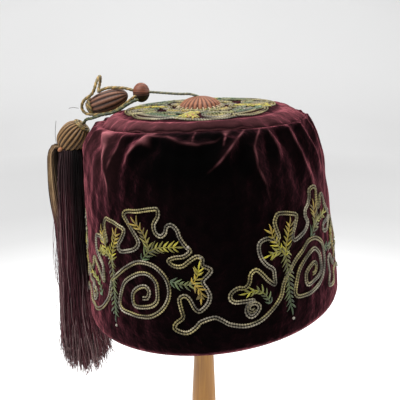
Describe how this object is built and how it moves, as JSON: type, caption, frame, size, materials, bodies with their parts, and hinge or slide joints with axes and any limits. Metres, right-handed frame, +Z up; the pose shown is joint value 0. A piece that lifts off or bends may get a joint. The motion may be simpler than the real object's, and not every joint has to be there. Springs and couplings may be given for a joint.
{
  "type": "smoking cap on a stand",
  "caption": "Gathered velvet smoking cap with an embroidered round tip, covered button, couched scrolls and a corded silk tassel, held up by a plain turned wooden stand.",
  "frame": {"origin": "middle of the underside of the stand's foot", "axes": "+Z up along the stand's post, -Y towards the front of the cap, -X towards the side where the tassel hangs"},
  "size_m": [0.2133, 0.1832, 0.3223],
  "materials": {
    "velvet": "dark burgundy cut pile with a red sheen on the folds",
    "rust_silk": "rust-brown silk wound in ribs",
    "gilt_cord": "twisted gold and green silk cord",
    "tassel_silk": "dark burgundy silk strands",
    "wood": "satin turned wood"
  },
  "bodies": {
    "root": {"crown_side": "velvet", "crown_tip": "velvet", "tip_button": "rust_silk", "cord_tip": "gilt_cord", "cord_ball": "rust_silk", "cord_olive": "rust_silk", "cord_round": "gilt_cord", "cord_tassel": "gilt_cord", "tassel_head": "rust_silk", "tassel_skirt": "tassel_silk", "stand_foot_disc": "wood", "stand_post": "wood", "stand_rest": "wood"}
  },
  "joints": []
}
